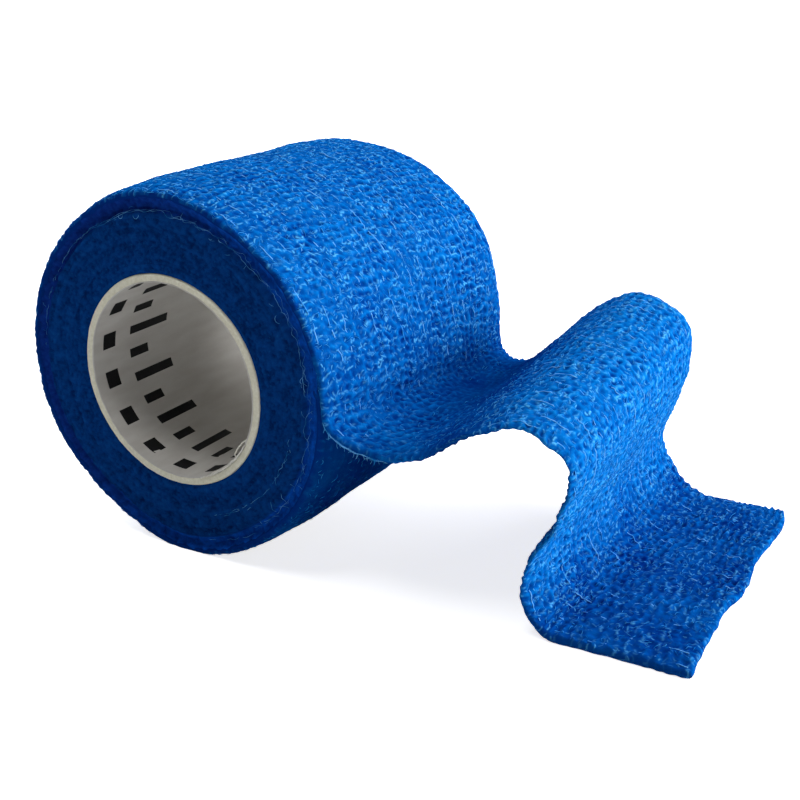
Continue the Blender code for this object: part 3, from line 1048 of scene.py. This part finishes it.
class Nodes:
    """A short way to add and join the nodes of one material."""

    def __init__(self, name):
        self.material = bpy.data.materials.new(name)
        self.material.use_nodes = True
        self.tree = self.material.node_tree
        self.shader = self.tree.nodes["Principled BSDF"]
        self.shader.inputs["Metallic"].default_value = 0.0

    def add(self, kind, **settings):
        node = self.tree.nodes.new(kind)
        for key, value in settings.items():
            setattr(node, key, value)
        return node

    def put(self, socket, value):
        """Joins an output to a socket, or sets the socket to a number, a vector or a colour."""
        if isinstance(value, bpy.types.NodeSocket):
            self.tree.links.new(value, socket)
        elif isinstance(value, tuple) and socket.type == "RGBA":
            socket.default_value = (*value, 1.0)
        else:
            socket.default_value = value

    def filled(self, node, **values):
        """Puts values in a node's or shader's sockets by their names, and gives its first output."""
        for name, value in values.items():
            self.put(node.inputs[name.replace("_", " ")], value)
        return node.outputs[0]

    def field(self, name):
        return self.add("ShaderNodeAttribute", attribute_name=name).outputs["Vector"]

    def where(self):
        return self.add("ShaderNodeTexCoord").outputs["Object"]

    def split(self, vector):
        node = self.add("ShaderNodeSeparateXYZ")
        self.put(node.inputs[0], vector)
        return node.outputs

    def math(self, operation, *values, kind="ShaderNodeMath"):
        node = self.add(kind, operation=operation)
        for socket, value in zip(node.inputs, values):
            self.put(socket, value)
        return node.outputs[0]

    def vector(self, operation, first, second):
        return self.math(operation, first, second, kind="ShaderNodeVectorMath")

    def times(self, first, *others):
        for other in others:
            first = self.math("MULTIPLY", first, other)
        return first

    def highest(self, first, *others):
        for other in others:
            first = self.math("MAXIMUM", first, other)
        return first

    def swing(self, value, amount):
        """A value about 0.5 as an amount to both sides of zero."""
        return self.times(self.math("SUBTRACT", value, 0.5), amount)

    def noise(self, vector, scale, detail=2.0, roughness=0.5):
        node = self.add("ShaderNodeTexNoise")
        return self.filled(node, Vector=vector, Scale=scale, Detail=detail, Roughness=roughness)

    def ramp(self, value, *stops):
        """Numbers or colours at positions of a value, each with its position first."""
        node = self.add("ShaderNodeValToRGB")
        self.put(node.inputs[0], value)
        ramp = node.color_ramp
        while len(ramp.elements) < len(stops):
            ramp.elements.new(0.5)
        for element, (position, colour) in zip(ramp.elements, stops):
            element.position = position
            element.color = (*(colour if isinstance(colour, tuple) else (colour,) * 3), 1.0)
        return node.outputs[0]

    def mix(self, factor, first, second, blend="MIX"):
        node = self.add("ShaderNodeMix", data_type="RGBA", blend_type=blend)
        for index, value in ((0, factor), (6, first), (7, second)):
            self.put(node.inputs[index], value)
        return node.outputs[2]

    def bump(self, height, distance, strength):
        node = self.add("ShaderNodeBump")
        return self.filled(node, Height=height, Distance=distance * MM, Strength=strength)

    def wisps(self, place, reach, width, spread, randomness, rare):
        """Soft curved strokes, at most one in each unit cell, lying across the strip within a spread."""
        cell = self.add("ShaderNodeTexVoronoi", feature="F1", voronoi_dimensions="2D")
        self.filled(cell, Vector=place, Scale=1.0, Randomness=randomness)
        lot = self.add("ShaderNodeSeparateColor")
        self.put(lot.inputs[0], cell.outputs["Color"])
        turned = self.add("ShaderNodeVectorRotate", rotation_type="Z_AXIS")
        offset = self.vector("SUBTRACT", place, cell.outputs["Position"])
        turned = self.filled(turned, Vector=offset, Angle=self.swing(lot.outputs[0], spread))
        side, along, _ = self.split(turned)
        curve = self.times(along, along, self.swing(lot.outputs[1], 2.4))
        bow = self.math("ABSOLUTE", self.math("ADD", side, curve))
        near = self.ramp(bow, (0.0, 1.0), (width, 0.0))
        within = self.ramp(self.math("ABSOLUTE", along), (0.5 * reach, 1.0), (reach, 0.0))
        shown = self.ramp(lot.outputs[2], (rare, 0.0), (0.90, 1.0))
        return self.times(near, within, shown)

    def surface(self, **values):
        """Puts values in the shader's sockets by their names, and gives the finished material."""
        self.filled(self.shader, **values)
        return self.material


def cloth_strokes(n, flat, grid, level):
    """The cloth's light fibres and painted glints: on its ridges, at its pits' corners and here and
    there.
    """
    on_ridges = n.vector("ADD", grid, (0.5, 0.0, 0.0))
    at_corners = n.vector("ADD", grid, (0.5, 0.5, 0.0))
    elsewhere = n.vector("MULTIPLY", n.vector("ADD", flat, (31.3, 17.7, 0.0)), (1.2, 1.2, 0.0))
    strokes = n.wisps(on_ridges, reach=0.42, width=0.17, spread=1.5, randomness=0.55, rare=0.05)
    puffs = n.wisps(at_corners, reach=0.28, width=0.21, spread=6.0, randomness=0.70, rare=0.05)
    small = n.wisps(elsewhere, reach=0.45, width=0.18, spread=5.0, randomness=1.0, rare=0.30)
    # Painted highlights along the ridges.
    ridges = n.ramp(level, (0.62, 0.0), (1.00, 0.7))
    breaks = n.ramp(n.noise(flat, 1.3, detail=1.0), (0.40, 0.0), (0.62, 1.0))
    wisps = n.highest(strokes, puffs, small, n.times(ridges, breaks))
    patchy = n.ramp(n.noise(flat, 0.45, detail=1.0), (0.36, 0.55), (0.60, 1.0))
    return n.math("POWER", n.times(wisps, n.split(grid)[2], patchy), 1.5)


def cloth_material():
    """Blue crinkled nonwoven: painted shade in its pits, painted light on its ridges, and fine light
    fibres that are partly painted glints.
    """
    n = Nodes("blue_crepe_cloth")
    strip = n.field("strip")
    along, across, relief = n.split(strip)
    flat = n.vector("MULTIPLY", strip, (1.0, 1.0, 0.0))
    grain = n.noise(flat, 1.3)
    level = n.math("ADD", n.math("MULTIPLY_ADD", relief, 0.42, 0.44), n.swing(grain, 0.8))
    # Painted shade in the pits and painted light on the crests, chosen by the relief.
    base = n.ramp(level, (0.10, PIT_BLUE), (0.38, DEEP_BLUE), (0.62, CLOTH_BLUE), (0.98, CREST_BLUE))
    toned = n.mix(n.ramp(n.noise(flat, 0.11), (0.35, 0.0), (0.65, 0.25)), base, TONE_BLUE)
    strokes = cloth_strokes(n, flat, n.field("grid"), level)
    # Light lint and painted glints over the cloth's colour.
    colour = n.mix(n.times(strokes, 0.90), toned, LINT_AND_GLINT_BLUE)
    rim = n.math("ABSOLUTE", n.math("SUBTRACT", across, CLOTH_WIDTH / 2))
    lobes = n.swing(n.noise(flat, 0.55, detail=3.0), 1.6)
    past_rim = n.math("SUBTRACT", n.math("ADD", rim, lobes), CLOTH_WIDTH / 2 - RIM_INSET)
    at_rim = n.ramp(past_rim, (0.0, 0.0), (0.45, 1.0))
    on_top = n.math("LESS_THAN", rim, 40.0)
    on_roll = n.math("LESS_THAN", along, -6.0)
    small = n.noise(flat, 4.5, detail=4.0, roughness=0.7)
    return n.surface(
        Base_Color=n.mix(n.times(at_rim, n.times(on_top, on_roll)), colour, RIM_BLUE),
        Roughness=n.ramp(small, (0.3, 0.78), (0.7, 0.95)),
        Normal=n.bump(n.math("ADD", n.times(small, 0.4), strokes), distance=0.07, strength=0.9),
        Specular_IOR_Level=0.0,
    )


def face_material():
    """The roll's face: the cut edges of the turns, darker and felted."""
    n = Nodes("blue_felted_face")
    strip = n.field("strip")
    flat = n.vector("MULTIPLY", strip, (1.0, 1.0, 0.0))
    grain = n.noise(flat, 1.7, detail=5.0, roughness=0.75)
    level = n.math("ADD", n.math("MULTIPLY_ADD", n.split(strip)[2], 0.25, 0.5), n.swing(grain, 1.2))
    base = n.ramp(level, (0.1, FACE_DARK), (0.5, FACE_BLUE), (0.95, FACE_LIGHT))
    specks = n.ramp(n.noise(flat, 2.6), (0.62, 0.0), (0.72, 1.0))
    colour = n.mix(n.times(specks, 0.3), base, SPECK_BLUE)
    ring, lit_side, _ = n.split(n.field("ring"))
    shade = n.ramp(level, (0.15, (0.55, 0.55, 0.60)), (0.85, (1.4, 1.4, 1.35)))
    # The ring step's painted light and shade, by its side.
    ring_colour = n.mix(1.0, n.mix(lit_side, RING_SHADED, RING_LIT), shade, blend="MULTIPLY")
    return n.surface(
        Base_Color=n.mix(ring, colour, ring_colour),
        Roughness=n.ramp(grain, (0.3, 0.85), (0.7, 1.0)),
        Normal=n.bump(grain, distance=0.30, strength=0.9),
        Specular_IOR_Level=0.0,
    )


def fibre_material(name, dim, light):
    """Thin fibres whose colour varies from one to the next."""
    n = Nodes(name)
    where = n.where()
    shade = n.noise(where, 700.0, detail=1.0)
    return n.surface(
        Base_Color=n.ramp(shade, (0.35, dim), (0.65, light)),
        Roughness=n.ramp(shade, (0.3, 0.80), (0.7, 0.95)),
        Normal=n.bump(n.noise(where, 6000.0, detail=1.0), distance=0.02, strength=0.4),
        Specular_IOR_Level=0.0,
    )


def paper_material():
    """The cream paper of the tube, with short pulp fibres and flecks."""
    n = Nodes("cream_paper_tube")
    strip = n.field("strip")
    pulp = n.noise(strip, 2.2, detail=5.0, roughness=0.65)
    flecks = n.ramp(n.noise(strip, 6.0), (0.30, 1.0), (0.40, 0.0))
    base = n.ramp(pulp, (0.25, (0.70, 0.68, 0.53)), (0.75, (0.88, 0.87, 0.74)))
    return n.surface(
        Base_Color=n.mix(n.times(flecks, 0.30), base, (0.55, 0.51, 0.38)),
        Roughness=n.ramp(pulp, (0.2, 0.75), (0.8, 0.92)),
        Normal=n.bump(pulp, distance=0.06, strength=0.7),
        Specular_IOR_Level=0.3,
    )


def liner_material():
    """The tube's white inner ply, slightly glossy, with a faint mottle and scuffs."""
    n = Nodes("white_inner_ply")
    strip = n.field("strip")
    mottle = n.noise(n.vector("MULTIPLY", strip, (0.5, 0.12, 1.0)), 1.0, detail=4.0)
    base = n.ramp(mottle, (0.3, (0.56, 0.54, 0.51)), (0.7, (0.66, 0.65, 0.62)))
    grain = n.noise(strip, 1.6, detail=4.0, roughness=0.6)
    scuffs = n.ramp(n.noise(strip, 0.55, detail=6.0, roughness=0.7), (0.60, 0.0), (0.72, 1.0))
    return n.surface(
        Base_Color=n.mix(n.times(scuffs, 0.2), base, (0.50, 0.47, 0.43)),
        Roughness=n.ramp(mottle, (0.3, 0.48), (0.7, 0.62)),
        Normal=n.bump(grain, distance=0.03, strength=0.5),
        Specular_IOR_Level=0.20,
    )


def torn_paper_material():
    """Torn paper fibres: paler and rougher than the tube's cut end."""
    n = Nodes("torn_paper")
    shred = n.noise(n.where(), 2500.0, detail=4.0, roughness=0.6)
    return n.surface(
        Base_Color=n.ramp(shred, (0.3, (0.72, 0.70, 0.62)), (0.7, (0.92, 0.91, 0.86))),
        Roughness=n.ramp(shred, (0.3, 0.85), (0.7, 1.0)),
        Normal=n.bump(shred, distance=0.10, strength=0.9),
        Specular_IOR_Level=0.1,
    )


def ink_material():
    """Black print, a little worn."""
    n = Nodes("black_print")
    wear = n.noise(n.field("strip"), 1.9, detail=5.0, roughness=0.7)
    return n.surface(
        Base_Color=n.ramp(wear, (0.3, (0.002, 0.002, 0.003)), (0.8, (0.010, 0.010, 0.012))),
        Roughness=n.ramp(wear, (0.3, 0.50), (0.7, 0.65)),
        Normal=n.bump(wear, distance=0.02, strength=0.4),
        Specular_IOR_Level=0.15,
    )


def floor_material(name, near_glow, far_glow):
    """A plain pale floor, with a faint unevenness. It glows a little, more so far from the object."""
    n = Nodes(name)
    where = n.where()
    far = n.add("ShaderNodeVectorMath", operation="LENGTH")
    n.put(far.inputs[0], where)
    return n.surface(
        Base_Color=n.ramp(n.noise(where, 3.0), (0.0, (0.88, 0.88, 0.88)), (1.0, (0.90, 0.90, 0.90))),
        Roughness=0.9,
        Specular_IOR_Level=0.1,
        Emission_Color=(1.0, 1.0, 1.0),
        Emission_Strength=n.ramp(far.outputs["Value"], (0.10, near_glow), (0.45, far_glow)),
    )


# ---------- stage, camera and light


def spherical(azimuth, elevation):
    """The direction from the object towards a camera or a light."""
    level = math.cos(elevation)
    return np.array((math.sin(azimuth) * level, -math.cos(azimuth) * level, math.sin(elevation)))


def add_camera():
    lens = bpy.data.cameras.new("camera")
    lens.lens = CAMERA_LENS
    lens.sensor_width = CAMERA_SENSOR
    lens.clip_start = 0.005
    lens.clip_end = 50.0
    camera = add_object("camera", lens)
    back = spherical(CAMERA_AZIMUTH, CAMERA_ELEVATION)
    camera.location = np.array(CAMERA_TARGET) + back * CAMERA_DISTANCE
    camera.rotation_euler = (math.pi / 2 - CAMERA_ELEVATION, 0.0, CAMERA_AZIMUTH)
    bpy.context.scene.camera = camera


def add_light(name, azimuth, elevation, size, power):
    """A round soft light that shines on the object from a direction given in degrees."""
    lamp = bpy.data.lights.new(name, "AREA")
    lamp.shape = "DISK"
    lamp.size = size
    lamp.energy = power
    light = add_object(name, lamp)
    direction = spherical(math.radians(azimuth), math.radians(elevation))
    light.location = np.array(CAMERA_TARGET) + direction * LIGHT_DISTANCE
    light.rotation_euler = (math.radians(90 - elevation), 0.0, math.radians(azimuth))


def add_floor(name, near_glow, far_glow):
    mesh = bpy.data.meshes.new(name)
    corners = [(x * FLOOR_HALF, y * FLOOR_HALF, 0) for x, y in ((-1, -1), (1, -1), (1, 1), (-1, 1))]
    mesh.from_pydata(corners, [], [(0, 1, 2, 3)])
    mesh.materials.append(floor_material(name, near_glow, far_glow))
    floor = add_object(name, mesh)
    return floor


def studio_world():
    """A dim even sky that lights the object, behind which a plain white backdrop is seen."""
    world = bpy.data.worlds.new("studio")
    world.use_nodes = True
    tree = world.node_tree
    sky = tree.nodes["Background"]
    backdrop = tree.nodes.new("ShaderNodeBackground")
    for background, strength in ((sky, SKY), (backdrop, 1.0)):
        background.inputs["Color"].default_value = (1.0, 1.0, 1.0, 1.0)
        background.inputs["Strength"].default_value = strength
    chosen = tree.nodes.new("ShaderNodeMixShader")
    seen = tree.nodes.new("ShaderNodeLightPath").outputs["Is Camera Ray"]
    for socket, output in zip(chosen.inputs, (seen, sky.outputs[0], backdrop.outputs[0])):
        tree.links.new(output, socket)
    tree.links.new(chosen.outputs[0], tree.nodes["World Output"].inputs["Surface"])
    return world


def add_stage():
    """A pale floor that is seen, one under it that only sends light back, and the studio lights."""
    seen = add_floor("floor", FLOOR_GLOW, 1.0)
    seen.visible_diffuse = False
    seen.visible_glossy = False
    seen.visible_transmission = False
    seen.visible_shadow = False
    lit = add_floor("floor_bounce", 0.0, 0.0)
    lit.location = (0.0, 0.0, -0.0002)
    lit.visible_camera = False
    bpy.context.scene.world = studio_world()
    view = bpy.context.scene.view_settings
    view.view_transform = "Standard"
    view.look = "None"
    for light in LIGHTS:
        add_light(*light)


# ---------- making


def make_outer_turn(points, places, grid, cloth):
    """The outermost turn's skin, with a lip over each face."""
    whole = np.concatenate((lip(points, 0)[:, ::-1], points, lip(points, 1)), axis=1)
    extra = len(LIP)
    places, grid = (np.pad(field, ((0, 0), (extra, extra), (0, 0)), "edge") for field in (places, grid))
    for k in range(extra):
        places[:, k, 1] -= LIP_COLUMN * (extra - k)
        places[:, -1 - k, 1] += LIP_COLUMN * (extra - k)
    cloth_piece("outer_turn", whole, grid_faces(*whole.shape[:2]), cloth, strip=places, grid=grid)


def make_loose_end(top_skin, under_skin, cloth):
    """The loose end as one closed mesh: the top's border is shared with the underside."""
    top, under = top_skin[0], under_skin[0]
    r, c = top.shape[:2]
    index = np.arange(r * c).reshape(r, c)
    index[1:-1, 1:-1] = r * c + np.arange((r - 2) * (c - 2)).reshape(r - 2, c - 2)
    under_faces = np.stack((index[:-1, :-1], index[:-1, 1:], index[1:, 1:], index[1:, :-1]), -1)
    top[0] = under[0] = (top[0] + under[0]) / 2
    for border in (np.s_[-1], np.s_[:, 0], np.s_[:, -1]):
        top[border] = (top[border] + under[border]) / 2
    points, places, grid = (
        np.concatenate((of_top.reshape(-1, 3), of_under[1:-1, 1:-1].reshape(-1, 3)))
        for of_top, of_under in zip(top_skin, under_skin)
    )
    faces = grid_faces(r, c) + under_faces.reshape(-1, 4).tolist()
    return cloth_piece("loose_end", points, faces, cloth, strip=places, grid=grid)


def make_cloth():
    """The cloth's pieces. Gives the loose end and the pieces that lie on it."""
    cloth = cloth_material()
    face = face_material()
    light_lint = fibre_material("light_blue_lint", (0.005, 0.20, 0.70), (0.06, 0.42, 0.94))
    thread = fibre_material("pale_elastic_thread", (0.03, 0.30, 0.85), (0.16, 0.48, 0.96))
    pale = fibre_material("pale_frayed_thread", (0.02, 0.24, 0.62), (0.16, 0.50, 0.90))

    points, normals, places, grid = outer_turn()
    make_outer_turn(points, places, grid, cloth)
    end_normals, top_skin, under_skin = loose_end()
    end = make_loose_end(top_skin, under_skin, cloth)
    for side, name in enumerate(("front_face", "back_face")):
        face_points, face_places, rings = roll_face(side)
        faces = grid_faces(*face_points.shape[:2], round_rows=True, flip=(side == 0))
        cloth_piece(name, face_points, faces, face, strip=face_places, ring=rings)

    roll = (points, normals, places)
    top, under = (top_skin[0], end_normals, top_skin[1]), (under_skin[0], -end_normals, under_skin[1])
    on_roll = (
        lint(*roll, count=4100, seed=7, margins=(16, 8)),
        lint(*roll, count=420, seed=17, margins=(16, 16), band=(1, 8)),
    )
    on_end = (
        lint(*top, count=2100, seed=8, margins=(14, 3)),
        lint(*under, count=1900, seed=9, margins=(30, 3)),
    )
    cloth_piece("lint_on_roll", *joined(on_roll), light_lint)
    fibres = cloth_piece("lint_on_loose_end", *joined(on_end), light_lint)
    lines = elastic_lines(*roll, first_row=150, last_row=len(points) - 14)
    cloth_piece("elastic_threads_roll", *lines, thread, smooth=False)
    lines = elastic_lines(*top, first_row=12, last_row=len(top[0]) - 5)
    threads = cloth_piece("elastic_threads_loose_end", *lines, thread, smooth=False)
    edge = frayed_edge(top[0][:, 0], top[2][:, 0, 0])
    frayed = cloth_piece("frayed_threads_loose_end", *edge, pale)
    return end, [fibres, threads, frayed]


def main():
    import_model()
    add_camera()
    add_stage()

    end, end_parts = make_cloth()
    for name, shape, material in (
        ("core_tube", core_tube, paper_material),
        ("core_liner", core_liner, liner_material),
        ("core_marks", core_marks, ink_material),
    ):
        points, faces, places = shape()
        paper_piece(name, points, faces, material(), strip=places)
    # The face's frayed threads are a darker copy of the edge's: painted shade.
    dim = fibre_material("shaded_frayed_thread", (0.014, 0.14, 0.42), (0.13, 0.40, 0.84))
    cloth_piece("frayed_threads_face", *frayed_face(), dim)
    paper_piece("torn_ply", *torn_ply(), torn_paper_material())


main()
